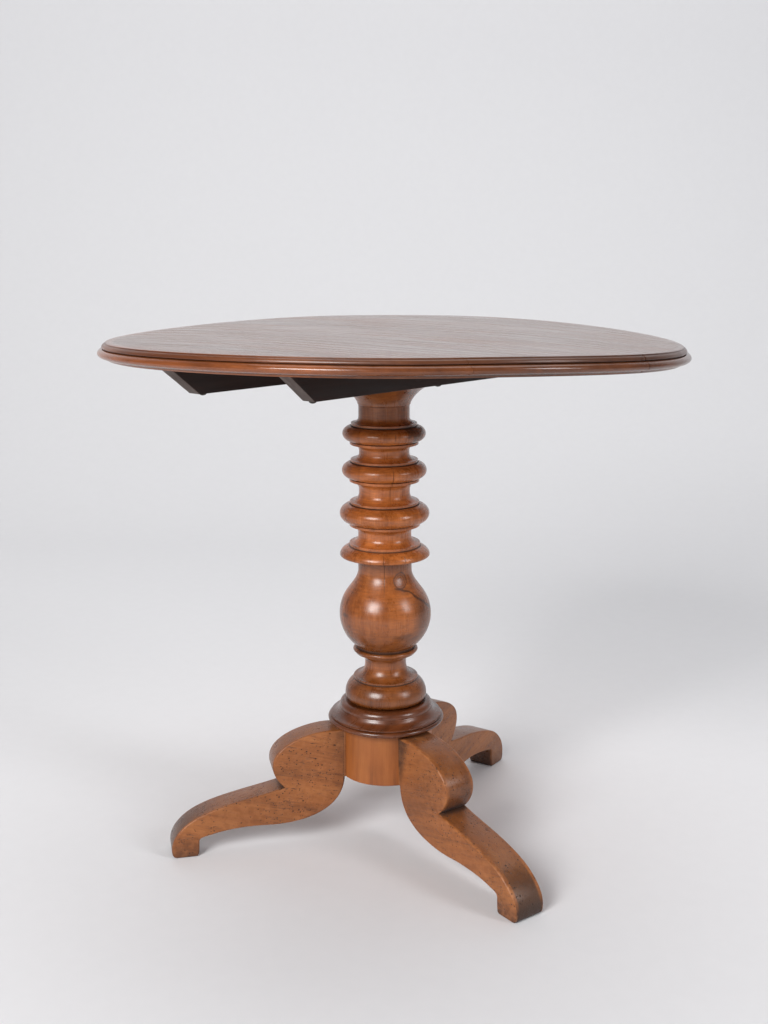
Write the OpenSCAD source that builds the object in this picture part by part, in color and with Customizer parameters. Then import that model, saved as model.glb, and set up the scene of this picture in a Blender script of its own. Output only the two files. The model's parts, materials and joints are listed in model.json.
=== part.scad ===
// Tilt-top table on a turned column with three scrolled legs.
// Units are millimetres. Z is up and the floor is at z = 0.
// The origin is on the floor below the centre of the top.
// The two bearers run along Y and the tilt axis runs along X.

/* [Top] */
// Height of the tabletop above the floor
table_h = 720; // [712:1:730]
// Radius of the top over its nosing
top_r = 390; // [375:1:405]
// Thickness of the top
top_t = 22; // [20:1:26]
// Width of each middle board, the two outer boards take the rest
board_w = 115.5; // [100:0.5:122]
// Height of the rounded nosing
nosing_h = 11.5; // [9:0.5:13]
// Projection of the nosing past the cove above it
nosing_out = 7.5; // [5:0.5:9]
// Height of the quarter round at the upper edge
ovolo_h = 4.5; // [3:0.5:5]
// Projection of the quarter round
ovolo_out = 3; // [2:0.5:4]

/* [Bearers] */
// Clear distance between the two bearers
bearer_gap = 136; // [134:1:150]
// Thickness of a bearer
bearer_t = 22; // [18:1:28]
// Depth of a bearer below the top
bearer_d = 42.5; // [38:0.5:46]
// Length of the left bearer along its lower edge
bearer_left_l = 570; // [520:5:600]
// Length of the right bearer along its lower edge
bearer_right_l = 486; // [460:5:520]
// How far each bearer end slopes outwards
bearer_slope = 51; // [30:1:55]
// Radius of a bearer screw's shank
screw_r = 2.4; // [2:0.1:3]

/* [Pivot block] */
// Length of the block along the bearers
block_l = 156; // [150:1:170]
// Gap between the block and each bearer
block_gap = 0.8; // [0.5:0.1:1.5]
// Distance of the tilt axis from the column's axis
pivot_off = 58; // [50:1:65]
// Radius of the iron pivot pins
pin_r = 5; // [4:0.5:6]
// Depth of each pin in the block
pin_in = 32; // [25:1:40]

/* [Column] */
// Offset of the column's axis from the centre of the top
column_off = -23; // [-26:1:-20]
// Radius of the capital under the block
capital_r = 60; // [56:1:62]
// Radii of the three full rings
ring_r = [56.8, 58, 61.8]; // [50:0.1:62]
// Heights of the centres of the rings above the floor
ring_z = [585, 534.5, 474.5]; // [470:0.5:590]
// Heights of the rings themselves
ring_h = [21, 22, 26]; // [18:0.1:26]
// Radii of the fillets above and below the rings
fillet_r = [45, 47, 46, 48, 47.5, 48.7, 48.8]; // [44:0.1:50]
// Radii of the necks, from the capital down
neck_r = [34.9, 34.4, 35.0, 36.7, 37.2]; // [30:0.1:38]
// Radius of the sharp ring above the ball
lip_r = 62.2; // [55:0.1:63]
// Height of the flat underside of that ring
lip_z = 414.5; // [410:0.5:416]
// Radius of the ball
ball_r = 64; // [60:0.5:66]
// Height of the ball's centre
ball_z = 331; // [329:1:333]
// Half height of the ball
ball_half_h = 60; // [58:0.5:62]
// Radius of the thin disc below the ball
disc_r = 45.5; // [44:0.5:50]
// Radius of the waist below the disc
waist_r = 29; // [26:0.5:32]
// Radius of the lowest ring
base_ring_r = 57.5; // [54:0.1:59]

/* [Base] */
// Radius of the hub that carries the legs
hub_r = 66; // [64:0.5:70]
// Height of the hub's underside
hub_z = 98; // [94:1:104]
// Height of the hub's top
hub_top = 175; // [174:0.5:176]
// Radius of the collar's lower bead
collar_r = 82; // [79:0.5:84]
// Radius of the tenon at the foot of the column
tenon_r = 20; // [16:1:24]
// Thickness of the front, left and rear legs
leg_t = [48, 42, 42]; // [38:1:50]
// Directions of the front, left and rear legs
leg_az = [-11.5, 235, 98]; // [-13:0.5:240]
// Depth of a leg's dovetail tongue in the hub
tongue_d = 18; // [14:1:20]

/* [Catch] */
// Radius of the sliding bolt
bolt_r = 5; // [4:0.5:5.5]
// Travel of the bolt
bolt_travel = 14; // [10:1:16]
// Length of the bolt
bolt_l = 68; // [66:1:74]

/* [Hidden] */
$fn = 96;
fit = 0.05;                                   // running clearance on a radius
under_z = table_h - top_t;                    // underside of the top
bearer_z = under_z - bearer_d;                // lower edge of the bearers
bearer_x = bearer_gap / 2;                    // inner face of each bearer
screw_up = 11;                                // length of a bearer screw in the top
screw_in = [13, 6.5];                         // inset of the end screws, left and right bearer
middle_screw_y = -5;                          // place of each bearer's middle screw
pivot_y = column_off + pivot_off;
pivot_z = under_z - 22;
block_w = bearer_gap - 2 * block_gap;
block_top = under_z - 0.3;
block_nose_r = block_top - pivot_z;           // rounded end, about the tilt axis
block_front = pivot_y + block_nose_r - block_l;
top_tenon_r = 16;
wedge_l = 26;
wedge_t = 3;
ring_land = 4;                                // height of the fillets beside the rings
lip_h = 18.5;                                 // height of the sharp ring with its fillet
shoulder_z = 203.5;                             // column rests on the collar here
collar_top = 204.5;
foot_in = 276;                                // inner edge of a foot
foot_out = 304;                               // outer edge of a foot
tongue_top = 162;
leg_top = 169.5;                              // top of a leg at the hub, clear of the collar
bead_h = 6.8;                                 // height of the collar's lower bead
bolt_z = under_z - 15;
plate_t = 2;
strike_t = 1.5;
bolt_tip_y = block_front - strike_t - 2;      // tip of the drawn bolt
guide_off = [10, 47];                         // guides, measured back from the tip
guide_w = 8;
plate_l = 64;
plate_w = 36;
knob_off = 35;                                // knob, measured back from the tip
small_screw_r = 1.5;

// Points on an ellipse with half sizes rx and rz, between two angles
function arc(cx, cz, rx, rz, a0, a1, n = 6) =
    [for (i = [0 : n]) let (a = a0 + (a1 - a0) * i / n) [cx + rx * cos(a), cz + rz * sin(a)]];

// Points on a cubic curve with two end points and two handles, without its last point
function curve(a, b, c, d, n = 8) =
    [for (i = [0 : n - 1]) let (t = i / n, s = 1 - t)
        s * s * s * a + 3 * s * s * t * b + 3 * s * t * t * c + t * t * t * d];

// Hollow neck from a fillet above down to a fillet below
function hollow(upper_r, upper_z, neck, lower_r, lower_z) =
    let (h = (upper_z - lower_z) * 0.42)
    concat(
        arc(upper_r, upper_z - h, upper_r - neck, h, 90, 180, 5),
        arc(lower_r, lower_z + h, lower_r - neck, h, 180, 270, 5)
    );

// Places of a bearer's three screws
function screw_places(side) =
    let (end = side < 0 ? bearer_left_l / 2 - screw_in[0] : bearer_right_l / 2 - screw_in[1])
    [-end, middle_screw_y, end];

// ---------------------------------------------------------------- top

// Half section of the round top, moulded along its edge
function top_section() =
    let (root = top_r - nosing_out, chamfer = 3, quirk = 1.5,
         nose_z = under_z + chamfer + nosing_h / 2)
    concat(
        [[0, under_z], [root - chamfer, under_z]],
        arc(root, nose_z, nosing_out, nosing_h / 2, -90, 90, 12),
        [[root - quirk, under_z + chamfer + nosing_h + 0.6], [root - quirk, table_h - ovolo_h]],
        arc(root - quirk, table_h - ovolo_h, ovolo_out, ovolo_h, 0, 90, 5),
        [[0, table_h]]
    );

// One board: a strip of the moulded disc, with pilot holes for the screws that reach it
module top_board(i) {
    low = i == 0 ? -top_r - 1 : (i - 3) * board_w;
    high = i == 5 ? top_r + 1 : (i - 2) * board_w;
    color("peru") difference() {
        intersection() {
            rotate_extrude($fn = 180) polygon(top_section());
            translate([-top_r - 1, low, under_z - 1])
                cube([2 * top_r + 2, high - low, top_t + 2]);
        }
        each_bearer_screw(low, high)
            translate([0, 0, under_z - 1])
                cylinder(r = screw_r + fit, h = screw_up + 1.5);
        each_catch_screw(low, high)
            translate([0, 0, under_z - 1])
                cylinder(r = small_screw_r + fit, h = 10.5);
    }
}

// ------------------------------------------------------------ bearers

module each_bearer_screw(low, high) {
    for (side = [-1, 1])
        for (y = screw_places(side))
            if (y > low && y < high)
                translate([side * (bearer_x + bearer_t / 2), y, 0]) children();
}

// A bearer with sloped ends, bored for its pivot pin and its screws
module bearer(side, length) {
    half = length / 2;
    far = half + bearer_slope;
    inner = side > 0 ? bearer_x : -bearer_x - bearer_t;
    color("#3a2620") difference() {
        translate([inner, 0, 0]) rotate([90, 0, 90]) linear_extrude(bearer_t)
            polygon([[-half, bearer_z], [half, bearer_z], [far, under_z], [-far, under_z]]);
        translate([inner - 1, pivot_y, pivot_z]) rotate([0, 90, 0])
            cylinder(r = pin_r + fit, h = bearer_t + 2);
        for (y = screw_places(side))
            translate([inner + bearer_t / 2, y, bearer_z - 1])
                cylinder(r = screw_r + fit, h = bearer_d + 2);
    }
}

// Round-headed screw with a slotted head, standing on the plane z = 0
module round_screw(shank_r, shank_l, head_r, head_h) {
    difference() {
        union() {
            rotate_extrude() polygon(concat(arc(0, 0, head_r, head_h, 0, -90, 8), [[0, 0]]));
            cylinder(r = shank_r, h = shank_l);
        }
        translate([-head_r, -0.5, -head_h - 1]) cube([2 * head_r, 1, 1.8]);
    }
}

module bearer_screws() {
    color("#35302c") each_bearer_screw(-top_r, top_r)
        translate([0, 0, bearer_z]) round_screw(screw_r, bearer_d + screw_up, 5, 3.2);
}

// -------------------------------------------------------- pivot block

module pivot_block() {
    outline = concat(
        [[block_front, bearer_z]],
        arc(pivot_y + block_nose_r - 6, bearer_z + 6, 6, 6, -90, 0, 4),
        arc(pivot_y, pivot_z, block_nose_r, block_nose_r, 0, 90, 12),
        [[block_front, block_top]]
    );
    color("#4a2f22") difference() {
        rotate([90, 0, 90]) linear_extrude(block_w, center = true) polygon(outline);
        for (side = [-1, 1])
            translate([side * (block_w / 2 - pin_in / 2 + 1), pivot_y, pivot_z]) rotate([0, 90, 0])
                cylinder(r = pin_r, h = pin_in + 2, center = true);
        translate([0, column_off, bearer_z - 1]) cylinder(r = top_tenon_r + fit, h = 60);
        translate([0, block_front + bolt_travel / 2, bolt_z]) rotate([90, 0, 0])
            cylinder(r = bolt_r + 0.8, h = bolt_travel + 2, center = true);
        each_strike_screw() cylinder(r = small_screw_r + fit, h = 13);
    }
}

// Pin from the bearer's outer face into the block
module pivot_pin(side) {
    end_x = block_w / 2 - pin_in;
    length = bearer_x + bearer_t - end_x;
    color("#4b4642") translate([side * (end_x + length / 2), pivot_y, pivot_z])
        rotate([0, 90, 0]) cylinder(r = pin_r, h = length, center = true);
}

// ------------------------------------------------------------- column

// Full ring with a fillet on each side, listed from its top down
function ring(i) =
    let (root = fillet_r[2 * i] - 1, half = ring_h[i] / 2, z = ring_z[i])
    concat(
        [[fillet_r[2 * i], z + half + ring_land], [fillet_r[2 * i], z + half + 0.8]],
        arc(root, z, ring_r[i] - root, half, 90, -90, 12),
        [[fillet_r[2 * i + 1], z - half - 0.8], [fillet_r[2 * i + 1], z - half - ring_land]]
    );

function neck_below(i, lower_r, lower_z) =
    hollow(fillet_r[2 * i + 1] - 1.5, ring_z[i] - ring_h[i] / 2 - ring_land,
           neck_r[i + 1], lower_r - 1, lower_z);

function ring_upper_z(i) = ring_z[i] + ring_h[i] / 2 + ring_land;

// Cavetto from the block down to the first neck
function capital() = concat(
    [[capital_r, bearer_z], [capital_r, bearer_z - 5]],
    curve([capital_r - 1.5, bearer_z - 6], [50, bearer_z - 10], [41, bearer_z - 19],
          [neck_r[0] + 1.6, bearer_z - 28], 6),
    [[neck_r[0] + 1.6, bearer_z - 28], [neck_r[0] + 1.1, bearer_z - 30.5], [neck_r[0], bearer_z - 31.5]],
    [[neck_r[0], ring_upper_z(0) + 9]],
    arc(fillet_r[0] - 1, ring_upper_z(0) + 8, fillet_r[0] - 1 - neck_r[0], 8, 180, 270, 5)
);

// Sharp ring, flat underneath, and the neck that sinks into the ball
function lip() = concat(
    [[fillet_r[6], lip_z + lip_h], [fillet_r[6], lip_z + lip_h - 4]],
    curve([50, lip_z + 13.5], [55, lip_z + 12.5], [lip_r - 1.2, lip_z + 8.5], [lip_r, lip_z + 3], 8),
    [[lip_r, lip_z + 1.2], [lip_r - 1, lip_z], [neck_r[4] + 4, lip_z]],
    arc(neck_r[4] + 4, lip_z - 4, 4, 4, 90, 180, 4),
    curve([neck_r[4], lip_z - 20], [neck_r[4], lip_z - 30], [ball_r * 0.697, ball_z + 44.8],
          [ball_r * 0.8192, ball_z + ball_half_h * 0.5736], 8)
);

function ball() = arc(0, ball_z, ball_r, ball_half_h, 35, -50, 22);

// Thin disc and waist between the ball and the lowest ring
function waist() = concat(
    [[disc_r - 5, ball_z - 49]],
    arc(disc_r - 2.6, ball_z - 52.2, 2.6, 2.6, 90, -90, 6),
    arc(disc_r - 3.5, ball_z - 69, disc_r - 3.5 - waist_r, 12, 90, 180, 5),
    arc(waist_r + 14.5, ball_z - 73, 14.5, 18, 180, 270, 7)
);

function base_ring() = concat(
    [[45.3, shoulder_z + 35.7], [45.3, shoulder_z + 33.7], [44.5, shoulder_z + 33.2]],
    arc(36, shoulder_z + 10.5, base_ring_r - 36, 24.4, 65, 0, 10),
    arc(46, shoulder_z + 10.5, base_ring_r - 46, 10.5, -10, -90, 7)
);

module column() {
    color("chocolate") translate([0, column_off, 0]) difference() {
        rotate_extrude($fn = 120) polygon(concat(
            [[0, block_top], [top_tenon_r, block_top], [top_tenon_r, bearer_z]],
            capital(),
            ring(0), neck_below(0, fillet_r[2], ring_upper_z(1)),
            ring(1), neck_below(1, fillet_r[4], ring_upper_z(2)),
            ring(2), neck_below(2, fillet_r[6], lip_z + lip_h),
            lip(), ball(), waist(), base_ring(),
            [[tenon_r, shoulder_z], [tenon_r, hub_z], [0, hub_z]]
        ));
        wedge_shape(fit);
    }
}

// Tapered wedge in the column's upper tenon, across the bearers
module wedge_shape(gap) {
    half = wedge_t / 2 + gap;
    width = 2 * top_tenon_r + (gap > 0 ? 2 : 0);
    translate([0, 0, block_top - wedge_l]) rotate([90, 0, 90])
        linear_extrude(width, center = true)
            polygon([[-half + 1, -gap], [half - 1, -gap], [half, wedge_l + gap], [-half, wedge_l + gap]]);
}

module tenon_wedge() {
    color("burlywood") translate([0, column_off, 0]) intersection() {
        wedge_shape(0);
        translate([0, 0, block_top - wedge_l - 1]) cylinder(r = top_tenon_r - fit, h = wedge_l + 2);
    }
}

// --------------------------------------------------------------- base

module base_collar() {
    root = collar_r - 5;
    bead_r = bead_h / 2;
    bead_top = hub_top + bead_h;
    section = concat(
        [[tenon_r + fit, hub_top], [collar_r - bead_r, hub_top]],
        arc(collar_r - bead_r, hub_top + bead_r, bead_r, bead_r, -90, 90, 10),
        arc(root, bead_top + 1.7, 1.8, 1.6, -60, 90, 5),
        curve([root - 1.5, bead_top + 3.8], [root - 6.5, bead_top + 5], [root - 10, bead_top + 8],
              [root - 11.3, collar_top - 10], 7),
        arc(root - 19.5, collar_top - 8, 8, 8, -12, 90, 9),
        [[root - 21.4, collar_top - 0.3], [root - 23, shoulder_z], [tenon_r + fit, shoulder_z]]
    );
    color("sienna") translate([0, column_off, 0]) rotate_extrude($fn = 120) polygon(section);
}

// Plan of a leg's dovetail tongue, pointing towards +X
module tongue_plan(gap) {
    deep = hub_r - tongue_d - gap;
    polygon([[deep, -14 - gap], [hub_r - 1, -10 - gap], [hub_r + 8, -10 - gap],
             [hub_r + 8, 10 + gap], [hub_r - 1, 10 + gap], [deep, 14 + gap]]);
}

module leg_hub() {
    color("#c4743c") translate([0, column_off, 0]) difference() {
        translate([0, 0, hub_z]) cylinder(r = hub_r, h = hub_top - hub_z);
        translate([0, 0, hub_z - 1]) cylinder(r = tenon_r + fit, h = hub_top - hub_z + 2);
        for (az = leg_az) rotate(az)
            translate([0, 0, hub_z - 1]) linear_extrude(tongue_top - hub_z + 1 + fit)
                tongue_plan(0.1);
    }
}

// Side outline of a leg: distance from the column's axis against height
function leg_outline() = concat(
    [[hub_r - 8, leg_top]],
    curve([82, leg_top], [108, leg_top + 0.5], [166, 156], [166.5, 123], 10),
    curve([166.5, 123], [167, 111], [159, 98], [150, 90], 6),
    curve([150, 90], [185, 80], [235, 75], [272, 58], 8),
    curve([272, 58], [295, 47], [310, 29], [309.5, 12], 8),
    curve([309.5, 12], [309.5, 5], [308, 1], [foot_out, 0], 4),
    [[foot_out, 0]],
    curve([foot_in, 0], [274, 0], [272, 2], [272, 5], 3),
    curve([272, 5], [271, 12], [271, 18], [271, 24], 2),
    curve([271, 24], [269, 27], [264, 28], [258, 29], 4),
    curve([258, 29], [235, 35.5], [205, 37.5], [180, 36], 7),
    curve([180, 36], [135, 33], [68, 42], [hub_r - 2, hub_z], 12),
    [[hub_r - 2, hub_z], [hub_r - 8, hub_z + 1]]
);

module leg(i) {
    color("#9c6336") translate([0, column_off, 0]) rotate(leg_az[i]) union() {
        difference() {
            rotate([90, 0, 0]) linear_extrude(leg_t[i], center = true) polygon(leg_outline());
            translate([0, 0, hub_z - 1]) cylinder(r = hub_r + fit, h = hub_top - hub_z + 2);
        }
        translate([0, 0, hub_z]) linear_extrude(tongue_top - hub_z) intersection() {
            tongue_plan(0);
            square([2 * (hub_r + 3), leg_t[i]], center = true);
        }
    }
}

// -------------------------------------------------------------- catch

module each_catch_screw(low, high) {
    for (x = [-plate_w / 2 + 4, plate_w / 2 - 4])
        for (y = [bolt_tip_y - 5, bolt_tip_y - plate_l + 5])
            if (y > low && y < high) translate([x, y, 0]) children();
}

module each_strike_screw() {
    for (x = [-9, 9])
        translate([x, block_front, bolt_z - 14]) rotate([-90, 0, 0]) children();
}

module catch_plate() {
    color("#3d3a38") difference() {
        translate([-plate_w / 2, bolt_tip_y - plate_l, under_z - plate_t])
            cube([plate_w, plate_l, plate_t]);
        each_catch_screw(-top_r, top_r) translate([0, 0, under_z - plate_t - 1])
            cylinder(r = small_screw_r + fit, h = plate_t + 2);
    }
}

// Two loops that carry the bolt
module catch_guides() {
    half = bolt_r + 2.5;
    color("#454240") for (off = guide_off)
        translate([0, bolt_tip_y - off, 0]) difference() {
            translate([-half, -guide_w / 2, bolt_z - half])
                cube([2 * half, guide_w, under_z - plate_t - bolt_z + half]);
            translate([0, 0, bolt_z]) rotate([90, 0, 0])
                cylinder(r = bolt_r + fit, h = guide_w + 2, center = true);
        }
}

module catch_screws() {
    color("#2f2b28") each_catch_screw(-top_r, top_r)
        translate([0, 0, under_z - plate_t]) round_screw(small_screw_r, 11, 3, 1.6);
}

module catch_bolt() {
    color("#6a6662") difference() {
        translate([0, bolt_tip_y, bolt_z]) rotate([90, 0, 0]) rotate_extrude()
            polygon([[0, 0], [bolt_r - 1, 0], [bolt_r, 1.5], [bolt_r, bolt_l - 0.8],
                     [bolt_r - 0.8, bolt_l], [0, bolt_l]]);
        translate([0, bolt_tip_y - knob_off, bolt_z - bolt_r - 1]) cylinder(r = 2.5, h = 5);
    }
}

// Turned knob screwed into the underside of the bolt
module catch_knob() {
    drop = bolt_r + 11;
    color("#5a5047") translate([0, bolt_tip_y - knob_off, bolt_z - drop]) rotate_extrude()
        polygon(concat([[0, drop - bolt_r + 4], [2.4, drop - bolt_r + 4], [2.4, 4.6]],
                       arc(0, 0, 5.2, 5.2, 60, -90, 12)));
}

module strike_plate() {
    color("#3d3a38") difference() {
        translate([-16, block_front - strike_t, bolt_z - 19]) cube([32, strike_t, 31]);
        translate([0, block_front, bolt_z]) rotate([90, 0, 0])
            cylinder(r = bolt_r + 0.8, h = 8, center = true);
        each_strike_screw() cylinder(r = small_screw_r + fit, h = 8, center = true);
    }
}

module strike_screws() {
    color("#2f2b28") for (x = [-9, 9])
        translate([x, block_front - strike_t, bolt_z - 14]) rotate([-90, 0, 0])
            round_screw(small_screw_r, 12, 3, 1.6);
}

top_board(0);  // top_board_1
top_board(1);  // top_board_2
top_board(2);  // top_board_3
top_board(3);  // top_board_4
top_board(4);  // top_board_5
top_board(5);  // top_board_6
bearer(-1, bearer_left_l);  // bearer_left
bearer(1, bearer_right_l);  // bearer_right
bearer_screws();
pivot_block();
pivot_pin(-1);  // pivot_pin_left
pivot_pin(1);  // pivot_pin_right
column();
tenon_wedge();
base_collar();
leg_hub();
leg(0);  // leg_front
leg(1);  // leg_left
leg(2);  // leg_rear
catch_plate();
catch_guides();
catch_screws();
catch_bolt();
catch_knob();
strike_plate();
strike_screws();
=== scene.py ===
import json
import math
import bpy
import bmesh
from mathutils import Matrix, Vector, noise


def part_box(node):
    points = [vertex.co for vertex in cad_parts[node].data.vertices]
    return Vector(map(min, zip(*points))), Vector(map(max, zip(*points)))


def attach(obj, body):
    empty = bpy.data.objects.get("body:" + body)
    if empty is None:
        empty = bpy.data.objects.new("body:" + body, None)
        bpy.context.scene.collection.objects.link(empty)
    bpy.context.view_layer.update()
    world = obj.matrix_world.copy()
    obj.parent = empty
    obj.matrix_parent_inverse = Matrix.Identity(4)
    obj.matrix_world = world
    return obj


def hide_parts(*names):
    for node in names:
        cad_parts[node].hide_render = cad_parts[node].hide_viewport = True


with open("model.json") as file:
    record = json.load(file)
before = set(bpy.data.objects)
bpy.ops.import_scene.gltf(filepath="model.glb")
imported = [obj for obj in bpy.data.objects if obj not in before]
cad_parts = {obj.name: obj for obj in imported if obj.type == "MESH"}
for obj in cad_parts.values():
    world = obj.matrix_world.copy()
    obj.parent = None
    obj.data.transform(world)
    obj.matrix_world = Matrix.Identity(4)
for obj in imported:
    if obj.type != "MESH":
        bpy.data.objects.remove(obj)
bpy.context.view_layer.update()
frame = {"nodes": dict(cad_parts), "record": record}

# Lengths below are millimetres until a mesh is made. Places come from the CAD boxes.
MM = 0.001


def low(node):
    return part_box(node)[0] / MM


def high(node):
    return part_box(node)[1] / MM


TOP_Z = high("top_board_3").z
UNDER_Z = low("top_board_3").z
TOP_R = high("top_board_3").x
BEARER_Z = low("bearer_left").z
AXIS_Y = (low("column").y + high("column").y) / 2
HUB_Z = low("leg_hub").z
HUB_TOP = high("leg_hub").z
HUB_R = high("leg_hub").x
COLLAR_TOP = high("base_collar").z
COLLAR_R = high("base_collar").x
SEAMS = [low("top_board_%d" % i).y for i in range(2, 7)]
TILT = next(j for j in frame["record"]["behaviour"]["joints"] if j["name"] == "tilt")
PIVOT_Y, PIVOT_Z = TILT["pos_m"][1] / MM, TILT["pos_m"][2] / MM
FEET = {m["name"]: m["pos_m"] for m in frame["record"]["mounts"] if m["name"].startswith("foot")}
VIEW_AZ = math.radians(42)
VIEW_COS, VIEW_SIN = math.cos(VIEW_AZ), math.sin(VIEW_AZ)
PIN_R = 5
BOLT_R = 5
TOP_TENON_R = 16
FOOT_TENON_R = 20
FOOT_BORE_R = FOOT_TENON_R + 0.3
LEAN = 2.6                                     # how far the column's foot lies to one side


def share(value, start, end):
    """How far a value has gone from start to end, held between 0 and 1."""
    return max(0.0, min(1.0, (value - start) / (end - start)))


def lean(z):
    """The old column leans a little, so that its foot lies to one side of the top."""
    off = LEAN * share(z, 600, 205)
    return Vector((off * VIEW_COS, off * VIEW_SIN, 0))


# ------------------------------------------------------------------ outlines

def arc(cx, cz, rx, rz, a0, a1, n=24):
    turns = [math.radians(a0 + (a1 - a0) * i / n) for i in range(n + 1)]
    return [(cx + rx * math.cos(a), cz + rz * math.sin(a)) for a in turns]


def curve(a, b, c, d, n=40):
    """A cubic curve without its last point."""
    out = []
    for i in range(n):
        t = i / n
        s = 1 - t
        k = (s * s * s, 3 * s * s * t, 3 * s * t * t, t * t * t)
        out.append(tuple(sum(w * p[j] for w, p in zip(k, (a, b, c, d))) for j in (0, 1)))
    return out


def resample(points, step, closed=False, keep=35):
    """The same line with even spacing; corners of more than keep degrees stay where they are."""
    pts = [Vector(p) for p in points]
    pts = [p for i, p in enumerate(pts) if i == 0 or (p - pts[i - 1]).length > 1e-4]
    if closed and (pts[0] - pts[-1]).length < 1e-4:
        pts.pop()
    n = len(pts)
    corners = []
    for i in range(n):
        if not closed and i in (0, n - 1):
            corners.append(i)
            continue
        a, b = pts[i] - pts[i - 1], pts[(i + 1) % n] - pts[i]
        if a.angle(b) > math.radians(keep):
            corners.append(i)
    if closed:
        corners = corners or [0]
        corners.append(corners[0] + n)
        pts = pts * 2 + [pts[0]]
    out = []
    for first, last in zip(corners, corners[1:]):
        run = pts[first:last + 1]
        lengths = [0.0]
        for a, b in zip(run, run[1:]):
            lengths.append(lengths[-1] + (b - a).length)
        count = max(1, round(lengths[-1] / step))
        j = 0
        for i in range(count):
            want = lengths[-1] * i / count
            while lengths[j + 1] < want:
                j += 1
            t = (want - lengths[j]) / max(1e-9, lengths[j + 1] - lengths[j])
            out.append(tuple(run[j].lerp(run[j + 1], t)))
    if not closed:
        out.append(tuple(pts[-1]))
    return out


# -------------------------------------------------------------------- meshes

def add_object(name, data):
    obj = bpy.data.objects.new(name, data)
    bpy.context.scene.collection.objects.link(obj)
    return obj


def mesh_of(name, verts, faces):
    """A mesh from vertices in millimetres."""
    mesh = bpy.data.meshes.new(name)
    mesh.from_pydata([Vector(v) * MM for v in verts], [], faces)
    return mesh


def mark(mesh, name, values):
    """Stores one number for each vertex, which the materials read."""
    mesh.attributes.new(name, "FLOAT", "POINT").data.foreach_set("value", values)


def make(name, verts, faces, body, nodes, material, smooth, dirt_and_shade=None):
    """A piece from vertices in millimetres, riding on a body in place of CAD nodes."""
    mesh = mesh_of(name, verts, faces)
    obj = add_object(name, mesh)
    if dirt_and_shade is not None:
        mark(mesh, "dirt_and_shade", dirt_and_shade)
    settle(obj, smooth)
    mesh.materials.append(material)
    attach(obj, body)
    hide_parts(*nodes)
    return obj


def settle(obj, smooth):
    """Outward faces, smooth shading and sharp creases past an angle in degrees."""
    bm = bmesh.new()
    bm.from_mesh(obj.data)
    bmesh.ops.remove_doubles(bm, verts=bm.verts, dist=2e-6)
    bmesh.ops.recalc_face_normals(bm, faces=bm.faces)
    bm.to_mesh(obj.data)
    bm.free()
    obj.data.shade_smooth()
    obj.data.set_sharp_from_angle(angle=math.radians(smooth))


def cut(obj, verts, faces, smooth):
    """Takes a solid in millimetres out of a piece."""
    tool = add_object("cutter", mesh_of("cutter", verts, faces))
    settle(tool, smooth)
    tool.matrix_world = obj.matrix_world.copy()
    modifier = obj.modifiers.new("cut", "BOOLEAN")
    modifier.object, modifier.solver, modifier.operation = tool, "EXACT", "DIFFERENCE"
    bpy.context.view_layer.update()
    graph = bpy.context.evaluated_depsgraph_get()
    result = bpy.data.meshes.new_from_object(obj.evaluated_get(graph))
    obj.modifiers.clear()
    result.name = obj.data.name
    obj.data = result
    bpy.data.objects.remove(tool)
    settle(obj, smooth)


def solid(outline, z0, z1, place):
    """A prism: place(u, v, w) turns outline and height into a point."""
    n = len(outline)
    verts = [place(u, v, z0) for u, v in outline] + [place(u, v, z1) for u, v in outline]
    faces = [[i, (i + 1) % n, (i + 1) % n + n, i + n] for i in range(n)]
    return verts, faces + [list(range(n)), list(range(n, 2 * n))]


def together(*parts):
    """Several solids as one list of vertices and one of faces."""
    verts, faces = [], []
    for v, f in parts:
        faces += [[i + len(verts) for i in face] for face in f]
        verts += v
    return verts, faces


def rounded(outline, half, radius, place, steps):
    """A slab from -half to half with its two rims rounded. place works as in solid."""
    n = len(outline)
    pts = [Vector(p) for p in outline]
    area = sum(a.x * b.y - a.y * b.x for a, b in zip(pts, pts[1:] + pts[:1]))
    inward = []
    for i in range(n):
        a, b = (pts[i] - pts[i - 1]).normalized(), (pts[(i + 1) % n] - pts[i]).normalized()
        side = Vector((-(a.y + b.y), a.x + b.x)) * (1 if area > 0 else -1)
        mitre = side.normalized() / max(0.45, math.cos(a.angle(b) / 2))
        inward.append(mitre)
    rings = []
    for k in range(steps + 1):
        t = math.radians(90 * k / steps)
        rings.append((radius * (1 - math.sin(t)), half - radius * (1 - math.cos(t))))
    rings += [(inset, -w) for inset, w in reversed(rings)]
    verts = []
    for inset, w in rings:
        verts += [place(*(p + m * inset), w) for p, m in zip(pts, inward)]
    faces = [list(range(n)), list(range(n * (len(rings) - 1), n * len(rings)))]
    for k in range(len(rings) - 1):
        for i in range(n):
            j = (i + 1) % n
            faces.append([k * n + i, k * n + j, (k + 1) * n + j, (k + 1) * n + i])
    return verts, faces


def recess(section, reach=1.7):
    """How sharply a turned section is creased inwards at each point, from 0 to 1; it becomes painted shade in
    the creases.

    The section is listed from the top down, and reach is the distance looked at to each side.
    """
    pts = [Vector(p) for p in section]
    out = []
    for i, p in enumerate(pts):
        before = next((q for q in reversed(pts[:i]) if (q - p).length >= reach), None)
        after = next((q for q in pts[i + 1:] if (q - p).length >= reach), None)
        if before is None or after is None or p.x < 25:
            out.append(0.0)
            continue
        a, b = (p - before).normalized(), (after - p).normalized()
        out.append(max(0.0, min(1.0, (a.x * b.y - a.y * b.x) * 1.5 - 0.45)))
    return out


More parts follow.
